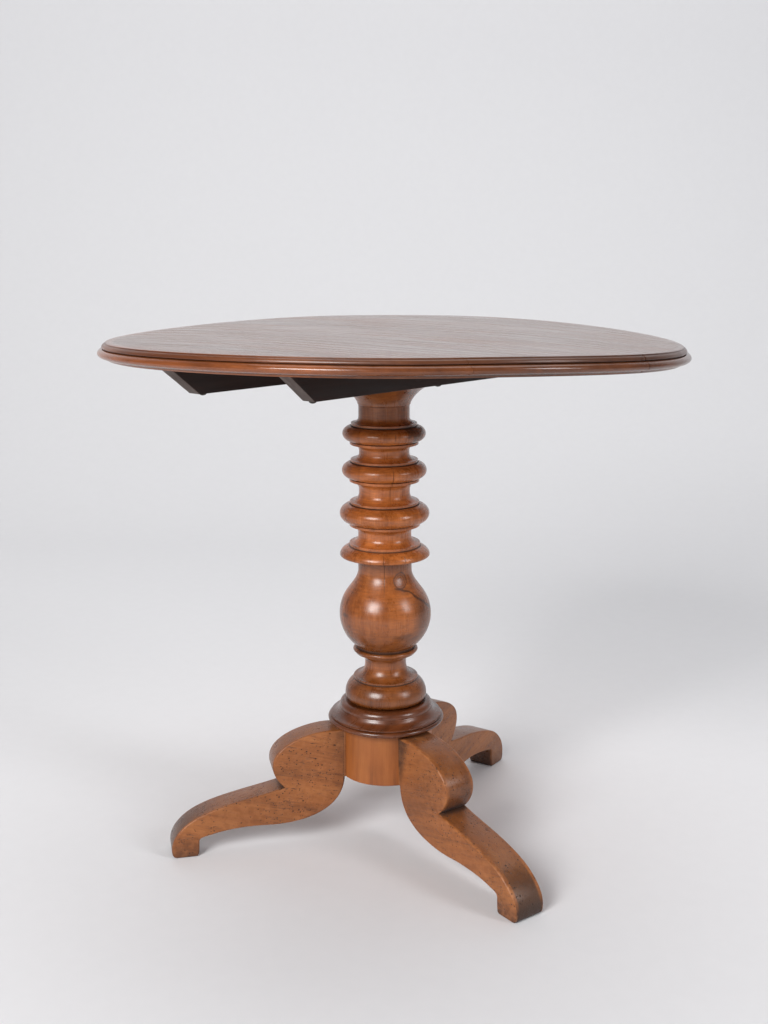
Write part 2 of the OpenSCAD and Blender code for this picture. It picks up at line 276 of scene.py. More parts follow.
def turned(section, segments, angles=(), dent=None):
    """A lathe about the column's axis. Section points with no radius close it.

    angles adds lines of vertices, and dent gives the lift and the dirt at a place.
    """
    even = [round(360 * i / segments, 4) for i in range(segments)]
    turns = sorted(set(even + [a % 360 for a in angles]))
    # Creases get painted shade; the cracks that dent gives are darkened too.
    shade = recess(section)
    verts, faces, dirt_and_shade, rows = [], [], [], []
    for (r, z), g in zip(section, shade):
        if r < 0.001:
            rows.append([len(verts)] * len(turns))
            verts.append((0, AXIS_Y, z))
            dirt_and_shade.append(g)
            continue
        rows.append(list(range(len(verts), len(verts) + len(turns))))
        for a in turns:
            t = math.radians(a)
            lift, darkening = dent(z, a) if dent else (0, 0)
            verts.append(((r + lift) * math.cos(t), AXIS_Y + (r + lift) * math.sin(t), z))
            dirt_and_shade.append(max(g, darkening))
    pairs = list(zip(rows, rows[1:]))
    if section[0][0] >= 0.001:
        pairs.append((rows[-1], rows[0]))
    for upper, lower in pairs:
        for i in range(len(turns)):
            j = (i + 1) % len(turns)
            face = [upper[i], upper[j], lower[j], lower[i]]
            face = [v for k, v in enumerate(face) if v != face[k - 1]]
            if len(face) > 2:
                faces.append(face)
    return verts, faces, dirt_and_shade


# ----------------------------------------------------------------- materials

def tone(r, g, b):
    """A screen colour as the linear value a shader takes."""
    return tuple(((c / 255 + 0.055) / 1.055) ** 2.4 if c > 10 else c / 255 / 12.92 for c in (r, g, b)) + (1,)


class Shader:
    def __init__(self, name):
        self.material = bpy.data.materials.new(name)
        self.material.use_nodes = True
        self.tree = self.material.node_tree
        self.surface = self.tree.nodes["Principled BSDF"]

    def add(self, kind, values=(), **settings):
        node = self.tree.nodes.new("ShaderNode" + kind)
        for key, value in settings.items():
            setattr(node, key, value)
        for key, value in dict(values).items():
            self.put(node.inputs[key], value)
        return node

    def put(self, socket, value):
        if isinstance(value, bpy.types.NodeSocket):
            self.tree.links.new(value, socket)
        else:
            socket.default_value = value

    def set(self, **values):
        for key, value in values.items():
            self.put(self.surface.inputs[key.replace("_", " ")], value)

    def math(self, operation, a, b=0.0, clamp=False):
        return self.add("Math", {0: a, 1: b}, operation=operation, use_clamp=clamp).outputs[0]

    def vector(self, operation, a, b):
        return self.add("VectorMath", {0: a, 1: b}, operation=operation).outputs[0]

    def apart(self, a, b):
        return self.add("VectorMath", {0: a, 1: b}, operation="DISTANCE").outputs["Value"]

    def noise(self, vector, scale, detail=3.0, rough=0.55, bend=0.0):
        values = {"Vector": vector, "Scale": scale, "Detail": detail, "Roughness": rough, "Distortion": bend}
        return self.add("TexNoise", values).outputs["Fac"]

    def span(self, value, a, b, c=0.0, d=1.0, smooth=True):
        kind = "SMOOTHSTEP" if smooth else "LINEAR"
        values = {"Value": value, "From Min": a, "From Max": b, "To Min": c, "To Max": d}
        return self.add("MapRange", values, interpolation_type=kind).outputs["Result"]

    def ramp(self, value, stops):
        node = self.add("ValToRGB", {"Fac": value})
        marks = node.color_ramp.elements
        while len(marks) < len(stops):
            marks.new(0.5)
        for mark, (place, colour) in zip(marks, stops):
            mark.position, mark.color = place, colour
        return node.outputs["Color"]

    def mix(self, amount, a, b, blend="MIX"):
        node = self.add("Mix", data_type="RGBA", blend_type=blend)
        for index, value in ((0, amount), (6, a), (7, b)):
            self.put(node.inputs[index], value)
        return node.outputs[2]

    def grey(self, value):
        return self.add("CombineColor", {0: value, 1: value, 2: value}).outputs[0]

    def point(self, turn=(0, 0, 0)):
        place = self.add("TexCoord").outputs["Object"]
        turn = tuple(math.radians(t) for t in turn)
        return self.add("Mapping", {"Vector": place, "Rotation": turn}).outputs["Vector"]

    def reading(self, name):
        return self.add("Attribute", attribute_name=name).outputs["Fac"]


def wood(name, dark, mid, light, along, turn=(0, 0, 0), gloss=(0.28, 0.5), coat=0.15, figure=1.0,
         pores=0.35, bump=1.0, sheen=0.0, shine=0.5, extra=None):
    """Grain runs along one axis of the piece; painted shade and soiling go where the mesh marks them."""
    s = Shader(name)
    place = s.point(turn)
    seed = s.reading("seed")
    place = s.vector("ADD", place, s.add("CombineXYZ", {"X": seed, "Y": seed, "Z": seed}).outputs[0])
    sway = s.add("TexNoise", {"Vector": place, "Scale": 5.0, "Detail": 2.0}).outputs["Color"]
    sway = s.vector("MULTIPLY", s.vector("SUBTRACT", sway, (0.5, 0.5, 0.5)), (0.016, 0.016, 0.016))
    bent = s.vector("ADD", place, sway)
    long = [0.07 if axis == along else 1.0 for axis in "XYZ"]
    thin = [0.018 if axis == along else 1.0 for axis in "XYZ"]
    grained = s.vector("MULTIPLY", bent, long)
    drawn = s.vector("MULTIPLY", bent, thin)
    broad = s.noise(grained, 26 * figure, 4, 0.55, 0.6)
    bands = s.noise(grained, 120 * figure, 5, 0.62, 0.3)
    lines = s.noise(drawn, 620, 4, 0.6)
    blend = s.math("ADD", s.math("MULTIPLY", broad, 0.52), s.math("MULTIPLY", bands, 0.30))
    blend = s.math("ADD", blend, s.math("MULTIPLY", lines, 0.18))
    colour = s.ramp(blend, [(0.34, dark), (0.50, mid), (0.66, light)])
    patch = s.noise(place, 9, 4, 0.6)
    colour = s.mix(1.0, colour, s.grey(s.span(patch, 0.25, 0.75, 0.80, 1.14)), "MULTIPLY")
    grain_pores = s.span(s.noise(drawn, 1500, 3, 0.7), 0.60, 0.74)
    grain_pores = s.math("MULTIPLY", grain_pores, s.span(broad, 0.35, 0.7, 0.4, 1.0))
    pore_tone = tuple(c * 0.35 for c in dark[:3]) + (1,)
    colour = s.mix(s.math("MULTIPLY", grain_pores, pores), colour, pore_tone)
    height = s.math("MULTIPLY", grain_pores, -0.05)
    height = s.math("ADD", height, s.math("MULTIPLY", lines, 0.05))
    height = s.math("ADD", height, s.math("MULTIPLY", s.noise(grained, 90, 3), 0.10))
    rough = s.span(s.math("ADD", s.math("MULTIPLY", bands, 0.5), s.math("MULTIPLY", patch, 0.5)),
                   0.32, 0.68, gloss[0], gloss[1])
    # The marked places are darkened: painted shade in creases, under the collar, along the bearers' tops and
    # in the legs' notches; soiling on cracks, joints and feet.
    dirt_and_shade = s.reading("dirt_and_shade")
    broken = s.span(s.math("ADD", dirt_and_shade, s.math("MULTIPLY", s.math("SUBTRACT", patch, 0.5), 0.5)), 0.08, 0.75)
    broken = s.math("MULTIPLY", broken, s.span(dirt_and_shade, 0.0, 0.05))
    colour = s.mix(s.math("MULTIPLY", broken, 0.78), colour, tone(30, 17, 11))
    rough = s.math("ADD", rough, s.math("MULTIPLY", broken, 0.25), True)
    if extra:
        colour, rough, height = extra(s, s.add("TexCoord").outputs["Object"], colour, rough, height)
    s.set(Base_Color=colour, Roughness=rough, Coat_Weight=coat, Coat_Roughness=0.22)
    s.set(Sheen_Weight=sheen, Sheen_Roughness=0.4, Specular_IOR_Level=shine)
    relief = s.add("Bump", {"Height": height, "Distance": MM, "Strength": bump})
    s.set(Normal=relief.outputs["Normal"])
    return s.material


def iron(name, dark, light, rough):
    """Dull metal with a cast skin and rusty stains."""
    s = Shader(name)
    place = s.point()
    cast = s.noise(place, 380, 5, 0.65)
    stain = s.noise(place, 45, 4)
    colour = s.mix(s.span(cast, 0.35, 0.65), dark, light)
    colour = s.mix(s.span(stain, 0.52, 0.72, 0.0, 0.6), colour, tone(74, 46, 30))
    s.set(Base_Color=colour, Metallic=0.85, Roughness=s.span(stain, 0.3, 0.7, rough - 0.1, rough + 0.15))
    s.set(Normal=s.add("Bump", {"Height": cast, "Distance": 0.12 * MM, "Strength": 1.0}).outputs["Normal"])
    return s.material


def blot(s, place, colour, centre, inner, outer, amount, shade):
    """A soft-edged stain round a point given in metres."""
    near = s.span(s.apart(place, centre), inner, outer, amount, 0.0)
    return s.mix(near, colour, shade)


def around(s, place, height):
    """Metres across and toward the photo's viewpoint, and height, from the column's leaning axis."""
    local = s.vector("SUBTRACT", place, tuple(lean(height) * MM + Vector((0, AXIS_Y * MM, 0))))
    parts = {"Z": s.add("SeparateXYZ", {0: place}).outputs[2]}
    for key, way in (("X", (VIEW_COS, VIEW_SIN, 0)), ("Y", (VIEW_SIN, -VIEW_COS, 0))):
        parts[key] = s.add("VectorMath", {0: local, 1: way}, operation="DOT_PRODUCT").outputs["Value"]
    return s.add("CombineXYZ", parts).outputs[0]


def column_marks(s, place, colour, rough, height):
    """Turning lines, painted shade and light by height, painted shade on the right of the ball, a knot with a
    streak on the ball, stains and a worn ring.

    Places are in metres.
    """
    lines = s.noise(s.vector("MULTIPLY", place, (0.10, 0.10, 1.0)), 520, 4, 0.65, 0.4)
    colour = s.mix(1.0, colour, s.grey(s.span(lines, 0.32, 0.68, 0.80, 1.16)), "MULTIPLY")
    height = s.math("ADD", height, s.math("MULTIPLY", lines, 0.10))
    # Painted shade and light by height: darker at the foot, under the ball, under the lip and at the top,
    # lighter over the lip and the rings.
    level = s.span(s.add("SeparateXYZ", {0: place}).outputs[2], 0.20, 0.66, 0.0, 1.0, False)
    height_shade = [(0.0, 0.50), (0.085, 0.57), (0.12, 0.76), (0.16, 0.64), (0.215, 0.62), (0.28, 0.92),
            (0.36, 0.97), (0.42, 0.74), (0.455, 0.62), (0.475, 1.10), (0.56, 1.22), (0.70, 1.18),
            (0.82, 1.08), (0.92, 0.82), (0.97, 0.60)]
    depth = s.ramp(level, [(at, (v, v * 0.985, v * 0.96, 1)) for at, v in height_shade])
    colour = s.mix(1.0, colour, depth, "MULTIPLY")
    flecks = s.noise(s.vector("MULTIPLY", place, (0.30, 0.30, 1.0)), 900, 2, 0.6)
    colour = s.mix(s.span(flecks, 0.66, 0.74, 0.0, 0.5), colour, tone(58, 32, 18))
    spot = around(s, place, 380)
    wobble = s.math("MULTIPLY", s.math("SUBTRACT", s.noise(place, 70, 3), 0.5), 0.008)
    oval = s.apart(s.vector("MULTIPLY", spot, (1.25, 1.0, 1.0)), (0.0258, 0.034, 0.3845))
    knot = s.math("ADD", oval, wobble)
    swirl = s.math("SINE", s.math("MULTIPLY", knot, 1700.0))
    near = s.span(knot, 0.0085, 0.0150, 1.0, 0.0)
    colour = s.mix(s.math("MULTIPLY", near, s.span(swirl, -0.4, 1.0, 0.25, 0.75)), colour, tone(92, 54, 34))
    edge = s.span(s.math("ABSOLUTE", s.math("SUBTRACT", knot, 0.0115)), 0.0, 0.0016, 0.75, 0.0)
    colour = s.mix(edge, colour, tone(62, 34, 22))
    parts = s.add("SeparateXYZ", {0: spot}).outputs
    past = s.math("MAXIMUM", s.math("SUBTRACT", parts[0], 0.010), 0.0)
    bowed = s.math("MULTIPLY", s.math("POWER", past, 2.0), 13.0)
    off = s.math("SUBTRACT", s.math("ADD", s.math("ADD", parts[2], bowed), wobble), 0.3772)
    streak = s.span(s.math("ABSOLUTE", off), 0.0004, 0.0026, 0.8, 0.0)
    streak = s.math("MULTIPLY", streak, s.span(parts[0], 0.010, 0.016))
    streak = s.math("MULTIPLY", streak, s.span(parts[1], 0.0, 0.012))
    colour = s.mix(streak, colour, tone(48, 28, 20))
    # Painted shade on the right side of the ball.
    shaded = s.math("MULTIPLY", s.span(parts[0], 0.034, 0.052), s.span(parts[1], 0.004, 0.03))
    from_middle = s.math("ABSOLUTE", s.math("SUBTRACT", parts[2], 0.336))
    shaded = s.math("MULTIPLY", shaded, s.span(from_middle, 0.02, 0.05, 1, 0))
    colour = s.mix(s.math("MULTIPLY", shaded, 0.55), colour, tone(60, 36, 24))
    for at, size, amount in (((0.0255, 0.0556, 0.3117), 0.011, 0.55), ((0.038, 0.045, 0.306), 0.008, 0.45),
                             ((-0.0555, 0.0312, 0.3362), 0.0065, 0.65), ((-0.050, 0.036, 0.322), 0.004, 0.5)):
        flat = s.vector("MULTIPLY", s.vector("SUBTRACT", spot, at), (0.55, 0.55, 1.6))
        reach = s.math("ADD", s.apart(flat, (0, 0, 0)), wobble)
        colour = s.mix(s.span(reach, size * 0.3, size, amount, 0.0), colour, tone(54, 32, 22))
    worn = s.math("ADD", s.apart(around(s, place, 590), (0.044, 0.032, 0.592)),
                  s.math("MULTIPLY", s.noise(place, 110), 0.03))
    colour = s.mix(s.span(worn, 0.026, 0.036, 0.7, 0.0), colour, tone(54, 36, 27))
    return colour, rough, height


def board_marks(s, place, colour, rough, height):
    """Darker end grain at the +X end of the boards, with painted shade there too, a greyer face that is a
    painted reflection of the pale surroundings, and two old stains.
    """
    parts = s.add("SeparateXYZ", {0: place}).outputs
    up = s.add("SeparateXYZ", {0: s.add("TexCoord").outputs["Normal"]}).outputs[2]
    from_axis = s.apart(s.vector("MULTIPLY", place, (1, 1, 0)), (0, 0, 0))
    face = s.math("MULTIPLY", s.span(up, 0.93, 0.98), s.span(from_axis, 0.373, 0.377, 1.0, 0.0))
    edge = s.span(from_axis, 0.370, 0.376)
    # Darker at the +X end of the rim: end grain with painted shade.
    ends = s.math("MULTIPLY", s.span(parts[0], 0.12, 0.34), edge)
    colour = s.mix(s.math("MULTIPLY", ends, 0.62), colour, tone(62, 36, 22))
    # The upward face is mixed toward grey: a painted reflection of the pale surroundings.
    colour = s.mix(s.math("MULTIPLY", face, 0.62), colour, tone(116, 106, 102))
    fine = s.noise(s.vector("MULTIPLY", place, (4, 90, 4)), 1.0, 5, 0.6)
    rough = s.math("ADD", rough, s.math("MULTIPLY", face, s.span(fine, 0.35, 0.65, -0.05, 0.04)))
    rough = s.math("SUBTRACT", rough, s.math("MULTIPLY", edge, 0.06))
    colour = blot(s, place, colour, (-0.018, 0.096, 0.72), 0.003, 0.006, 0.8, tone(48, 36, 32))
    colour = blot(s, place, colour, (-0.196, 0.262, 0.72), 0.003, 0.009, 0.5, tone(70, 50, 42))
    return colour, rough, height


def leg_marks(s, place, colour, rough, height):
    """Pores, worm holes, painted shade on the lower curl of each scroll, dark feet, polished upper faces and
    worn rims.
    """
    parts = s.add("SeparateXYZ", {0: place}).outputs
    grain = s.vector("MULTIPLY", s.point((0, 14, 0)), (0.16, 1.0, 1.0))
    pits = s.span(s.noise(grain, 460, 3, 0.75), 0.57, 0.67)
    pits = s.math("MULTIPLY", pits, s.span(s.noise(place, 30, 3), 0.36, 0.58, 0.25, 1.0))
    colour = s.mix(s.math("MULTIPLY", pits, 0.66), colour, tone(60, 32, 18))
    height = s.math("SUBTRACT", height, s.math("MULTIPLY", pits, 0.22))
    for scale, chosen, size, crowd in ((150.0, 0.50, 0.20, 0.44), (270.0, 0.52, 0.27, 0.46)):
        cells = s.add("TexVoronoi", {"Vector": place, "Scale": scale, "Randomness": 1.0})
        picked = s.span(s.add("SeparateColor", {0: cells.outputs["Color"]}).outputs[0], chosen, chosen + 0.03)
        hole = s.span(cells.outputs["Distance"], size * 0.55, size, 1.0, 0.0)
        many = s.span(s.noise(place, 26, 2), crowd - 0.08, crowd + 0.08, 0.1, 1.0)
        bored = s.math("MULTIPLY", s.math("MULTIPLY", hole, picked), many)
        colour = s.mix(s.math("MULTIPLY", bored, 0.9), colour, tone(38, 20, 13))
        height = s.math("SUBTRACT", height, s.math("MULTIPLY", bored, 0.8))
        rough = s.math("ADD", rough, s.math("MULTIPLY", bored, 0.3))
    inner = s.span(s.math("ABSOLUTE", parts[1]), 0.0165, 0.0195, 1.0, 0.0)
    # Painted shade on the lower curl of each scroll, which faces down.
    scroll = s.math("MULTIPLY", s.span(parts[2], 0.094, 0.125, 1.0, 0.15), s.span(parts[0], 0.135, 0.150))
    scroll = s.math("MULTIPLY", scroll, s.span(parts[2], 0.084, 0.092))
    colour = s.mix(s.math("MULTIPLY", s.math("MULTIPLY", inner, scroll), 0.55), colour, tone(54, 30, 20))
    outer = s.math("MULTIPLY", inner, s.span(parts[0], 0.250, 0.298))
    colour = s.mix(s.math("MULTIPLY", outer, 0.72), colour, tone(60, 42, 28))
    heel = s.math("MULTIPLY", s.span(parts[2], 0.006, 0.034, 1.0, 0.0), s.span(parts[0], 0.262, 0.268))
    heel = s.math("MULTIPLY", heel, s.span(s.noise(place, 70, 3), 0.30, 0.62, 0.4, 1.0))
    colour = s.mix(s.math("MULTIPLY", heel, 0.60), colour, tone(60, 36, 24))
    polished = s.math("MULTIPLY", inner, s.span(parts[0], 0.07, 0.09))
    colour = s.mix(s.math("MULTIPLY", polished, 0.22), colour, tone(72, 46, 32))
    rough = s.math("SUBTRACT", rough, s.math("MULTIPLY", polished, 0.12), True)
    rim = s.math("ABSOLUTE", s.math("SUBTRACT", s.math("ABSOLUTE", parts[1]), 0.0225))
    rim = s.math("MULTIPLY", s.span(rim, 0.0006, 0.0022, 1.0, 0.0), s.span(s.noise(place, 120, 3), 0.42, 0.6))
    colour = s.mix(s.math("MULTIPLY", rim, 0.30), colour, tone(206, 136, 84))
    return colour, rough, height


TOP_WOOD = wood("top_wood", tone(104, 54, 26), tone(140, 76, 36), tone(166, 94, 48), "X", gloss=(0.22, 0.30),
                coat=0.2, figure=0.8, pores=0.3, bump=0.4, extra=board_marks)
TURNED_WOOD = wood("turned_wood", tone(96, 49, 22), tone(150, 83, 36), tone(180, 106, 52), "Z",
                   gloss=(0.22, 0.36), coat=0.25, figure=0.9, pores=0.35, extra=column_marks)
COLLAR_WOOD = wood("collar_wood", tone(60, 30, 14), tone(97, 50, 23), tone(122, 66, 32), "Y",
                   gloss=(0.22, 0.36), coat=0.35, figure=0.8, pores=0.25)
HUB_WOOD = wood("hub_wood", tone(126, 70, 30), tone(156, 88, 38), tone(172, 103, 50), "Z",
                gloss=(0.38, 0.58), coat=0.0, figure=1.3, pores=0.4)
LEG_WOOD = wood("leg_wood", tone(110, 62, 28), tone(146, 85, 40), tone(168, 105, 55), "X", turn=(0, 14, 0),
                gloss=(0.36, 0.54), coat=0.05, figure=1.5, pores=0.5, sheen=0.06, extra=leg_marks)
BEARER_WOOD = wood("bearer_wood", tone(24, 14, 11), tone(38, 22, 16), tone(56, 33, 24), "Y",
                   gloss=(0.5, 0.7), coat=0.0, figure=1.0, pores=0.4, shine=0.3)
END_WOOD = wood("bearer_end", tone(70, 58, 52), tone(92, 80, 75), tone(112, 100, 94), "Y",
                gloss=(0.6, 0.8), coat=0.0, figure=2.2, pores=0.5, shine=0.3)
BLOCK_WOOD = wood("block_wood", tone(50, 32, 24), tone(74, 47, 34), tone(92, 60, 43), "Y",
                  gloss=(0.5, 0.7), coat=0.0, figure=1.0, pores=0.4)
WEDGE_WOOD = wood("wedge_wood", tone(120, 76, 44), tone(150, 98, 60), tone(170, 118, 78), "Z",
                  gloss=(0.5, 0.7), coat=0.0, figure=1.4)
IRON = iron("iron", tone(50, 46, 44), tone(82, 78, 74), 0.48)
BRIGHT_IRON = iron("bright_iron", tone(78, 74, 70), tone(124, 118, 112), 0.36)


# ----------------------------------------------------------------- tabletop

FLAT_HALF = 70                                 # the top stays flat this far from its middle
BEAD_IN, BEAD_DEPTH = 379, 7.8                 # the small bead on the moulded edge
NOSING = 7.8                                   # the large rounded nose below it
STRETCH = 4.5                                  # how much wider one side of the old top is


def sag(x, y):
    """The old top has drooped at two opposite sides; it is flat over the block."""
    across = x * VIEW_COS + y * VIEW_SIN
    depth = x * VIEW_SIN - y * VIEW_COS
    reach = max(0.0, (abs(across) - FLAT_HALF) / (TOP_R - FLAT_HALF))
    front = 0.5 + 0.5 * depth / TOP_R
    if across < 0:
        return -(14 - 9 * front) * reach ** 1.9
    return -(12.5 + 4 * front) * reach ** 1.9


def tabletop():
    """The whole moulded disc, sliced into its boards."""
    root = TOP_R - NOSING
    section = [(r, TOP_Z) for r in (0, 40, 80, 120, 160, 200, 240, 270, 300, 325, 350, 365, 374)]
    section += resample([(BEAD_IN, TOP_Z), (379.6, TOP_Z - 0.25), (379.7, TOP_Z - 1.4)], 0.8)
    section += arc(380.0, TOP_Z - 5.9, 4.4, 4.3, 90, 0, 10)
    section += [(384.2, TOP_Z - 6.4), (382.4, TOP_Z - 6.9), (382.0, TOP_Z - 7.7)]
    section += arc(root, TOP_Z - 13.2, NOSING, 5.5, 84, -90, 22)
    section += [(root - 2, UNDER_Z + 2.8), (378, UNDER_Z)]
    section += [(r, UNDER_Z) for r in (350, 300, 240, 160, 80, 0)]
    verts, faces, dirt_and_shade = turned(section, 480)
    # The small bead and the step under it are marked darker.
    for i, (x, y, z) in enumerate(verts):
        if math.hypot(x, y - AXIS_Y) > BEAD_IN and z > TOP_Z - BEAD_DEPTH:
            dirt_and_shade[i] = max(dirt_and_shade[i], 0.42)
    bm = bmesh.new()
    for x, y, z in verts:
        bm.verts.new((x, y - AXIS_Y, z))
    bm.verts.ensure_lookup_table()
    for face in faces:
        bm.faces.new([bm.verts[i] for i in face])
    store = bm.verts.layers.float.new("dirt_and_shade")
    for vert, value in zip(bm.verts, dirt_and_shade):
        vert[store] = value
    edges = [-TOP_R - 9] + SEAMS + [TOP_R + 9]
    for index, (first, last) in enumerate(zip(edges, edges[1:])):
        board(bm.copy(), index, first, last)
    bm.free()


def opening(y, x):
    """Half the width of a joint between boards; two joints have opened at their right ends."""
    worn = 0.10 + 0.05 * noise.noise(Vector((x * 0.02, y, 0)))
    if y < -150 or abs(y) < 20:
        worn += 0.55 * share(x, 250, 360) ** 1.5
    return worn


def board(bm, index, first, last):
    """One board from a copy of the disc, between two places along Y."""
    for place, normal in ((first, -1), (last, 1)):
        if abs(place) > TOP_R:
            continue
        geometry = bm.verts[:] + bm.edges[:] + bm.faces[:]
        bmesh.ops.bisect_plane(bm, geom=geometry, plane_co=(0, place, 0), plane_no=(0, normal, 0),
                               clear_outer=True, dist=1e-5)
        rim = [e for e in bm.edges if all(abs(v.co.y - place) < 1e-4 for v in e.verts)]
        bmesh.ops.holes_fill(bm, edges=rim, sides=0)
        for vert in bm.verts:
            if abs(vert.co.y - place) < 1e-4:
                vert.co.y -= normal * opening(place, vert.co.x)
    seed = bm.verts.layers.float.new("seed")
    for vert in bm.verts:
        vert[seed] = index * 1.37
        x, y = vert.co.xy
        vert.co.z += sag(x, y)
        stretch = STRETCH * max(0.0, -(x * VIEW_COS + y * VIEW_SIN) / TOP_R) ** 3
        vert.co.x -= stretch * VIEW_COS
        vert.co.y -= stretch * VIEW_SIN
        vert.co *= MM
    name = "board_%d" % (index + 1)
    mesh = bpy.data.meshes.new(name)
    bm.to_mesh(mesh)
    bm.free()
    obj = add_object(name, mesh)
    settle(obj, 32)
    mesh.materials.append(TOP_WOOD)
    if index == 1:
        long_crack = [(26, -114), (-14, -118), (-52, -123), (-112, -131), (-150, -147), (-198, -170)]
        split(obj, long_crack, 0.34, 1.3)
        split(obj, [(345, -183), (352, -187), (360, -190), (372, -197)], 0.3, 6)
    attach(obj, "top")
    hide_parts("top_board_%d" % (index + 1))


def split(obj, line, half, depth):
    """A crack along a line on the top face, widest in its middle, where half is half its width."""
    verts, faces = [], []
    pts = [Vector(p) for p in resample(line, 9)]
    for i, p in enumerate(pts):
        ahead = (pts[min(i + 1, len(pts) - 1)] - pts[max(i - 1, 0)]).normalized()
        side = Vector((-ahead.y, ahead.x))
        p = p + side * 0.6 * noise.noise(Vector((p.x * 0.09, 3.1, 0)))
        width = half * (0.25 + 0.75 * math.sin(math.pi * i / (len(pts) - 1)))
        z = TOP_Z + sag(*p)
        for q, w in ((p - side * width, z + 1), (p + side * width, z + 1), (p, z - depth)):
            verts.append((q.x, q.y, w))
    for i in range(len(pts) - 1):
        a = 3 * i
        for j in range(3):
            k = (j + 1) % 3
            faces.append([a + j, a + k, a + k + 3, a + j + 3])
    faces += [[0, 1, 2], [len(verts) - 3, len(verts) - 2, len(verts) - 1]]
    cut(obj, verts, faces, 32)


# ------------------------------------------------------------ bearers, block

def rod(centre, axis, radius, length, sides=48):
    """A cylinder to cut with."""
    axis = Vector(axis).normalized()
    u = axis.orthogonal().normalized()
    v = axis.cross(u)
    outline = [(radius * math.cos(2 * math.pi * i / sides), radius * math.sin(2 * math.pi * i / sides))
               for i in range(sides)]
    middle = Vector(centre)
    return solid(outline, -length / 2, length / 2,
                 lambda a, b, w: tuple(middle + u * a + v * b + axis * w))


BEARER_SLOPE = 51                              # length of the sloped end of a bearer


def bearer(name):
    """A bearer with sloped ends, bored for its pin and screws, that follows the sagged top."""
    lo, hi = low(name), high(name)
    middle, half = (lo.x + hi.x) / 2, (hi.x - lo.x) / 2
    reach, foot = hi.y, hi.y - BEARER_SLOPE
    outline = resample([(-foot, BEARER_Z), (foot, BEARER_Z), (reach, UNDER_Z), (-reach, UNDER_Z)], 12, True)
    verts, faces = rounded(outline, half, 1.1, lambda y, z, w: (middle + w, y, z), 3)
    fitted = []
    for x, y, z in verts:
        rise = (z - BEARER_Z) / (UNDER_Z - BEARER_Z)
        fitted.append((x, y, z + sag(x, y) * rise - 0.02 * rise))
    # Painted shade along the top edge, where the bearer meets the underside of the top.
    dirt_and_shade = [0.5 * max(0.0, 1 - (UNDER_Z - z) / 4) for x, y, z in fitted]
    obj = make(name.replace("bearer", "rail"), fitted, faces, "top", [name], BEARER_WOOD,
               40, dirt_and_shade)
    holes = [rod((middle, PIVOT_Y, PIVOT_Z), (1, 0, 0), PIN_R + 0.15, 60)]
    holes += [rod((middle, y, BEARER_Z + 15), (0, 0, 1), 2.5, 70, 24) for y in SCREWS[name]]
    cut(obj, *together(*holes), 40)
    obj.data.materials.append(END_WOOD)
    for face in obj.data.polygons:
        if abs(face.normal.y) > 0.5 and abs(face.center.y) > 0.2:
            face.material_index = 1


def screw_places(side):
    """Places along Y of a bearer's screws, read from the CAD screws."""
    found = []
    for v in frame["nodes"]["bearer_screws"].data.vertices:
        x, y = (v.co / MM).xy
        if x * side > 0 and not any(abs(y - f[0]) < 12 for f in found):
            found.append([y])
        if x * side > 0:
            next(f for f in found if abs(y - f[0]) < 12).append(y)
    return [(min(f) + max(f)) / 2 for f in found]


SCREWS = {"bearer_left": screw_places(-1), "bearer_right": screw_places(1)}


def block():
    """The swivel block, with bores for the pins, the catch bolt and the column's tenon."""
    lo, hi = low("pivot_block"), high("pivot_block")
    nose = hi.z - PIVOT_Z
    outline = [(lo.y, lo.z)] + arc(hi.y - 6, lo.z + 6, 6, 6, -90, 0, 6)
    outline += arc(PIVOT_Y, PIVOT_Z, nose, nose, 0, 90, 16) + [(lo.y, hi.z)]
    verts, faces = rounded(resample(outline, 4, True), (hi.x - lo.x) / 2, 1.2, lambda y, z, w: (w, y, z), 3)
    obj = make("swivel_block", verts, faces, "stand", ["pivot_block"], BLOCK_WOOD, 40)
    holes = [rod((end * hi.x, PIVOT_Y, PIVOT_Z), (1, 0, 0), PIN_R + 0.05, 60) for end in (-1, 1)]
    holes.append(rod((0, lo.y, high("catch_bolt").z - BOLT_R), (0, 1, 0), BOLT_R + 0.8, 28))
    holes.append(rod((0, AXIS_Y, (lo.z + hi.z) / 2), (0, 0, 1), TOP_TENON_R + 0.1, 60, 96))
    cut(obj, *together(*holes), 40)


# ------------------------------------------------------------------- column

def hollow(upper_r, upper_z, neck, lower_r, lower_z):
    """The scooped line of a neck between two fillets."""
    h = (upper_z - lower_z) * 0.42
    return (arc(upper_r, upper_z - h, upper_r - neck, h, 90, 180)
            + arc(lower_r, lower_z + h, lower_r - neck, h, 180, 270))


FILLETS = (45, 47, 46, 48, 47.5, 48.7, 48.8)   # radii, two to a ring from the top down
NECKS = (34.9, 34.4, 35.0, 36.7, 37.2)         # radii from the top down
RINGS = ((56.8, 585, 21), (58, 534.5, 22), (61.8, 474.5, 26))     # radius, middle and height
LAND = 4                                       # height of a fillet


def ring(i):
    """A ring with the fillets above and below it."""
    radius, z, height = RINGS[i]
    upper, lower, half = FILLETS[2 * i], FILLETS[2 * i + 1], height / 2
    return ([(upper, z + half + LAND), (upper, z + half + 0.8)]
            + arc(upper - 1, z, radius - upper + 1, half, 90, -90, 40)
            + [(lower, z - half - 0.8), (lower, z - half - LAND)])


def below(i, lower_r, lower_z):
    """The neck under a ring."""
    z, height = RINGS[i][1:]
    return hollow(FILLETS[2 * i + 1] - 1.5, z - height / 2 - LAND, NECKS[i + 1], lower_r - 1, lower_z)


def ring_upper(i):
    return RINGS[i][1] + RINGS[i][2] / 2 + LAND


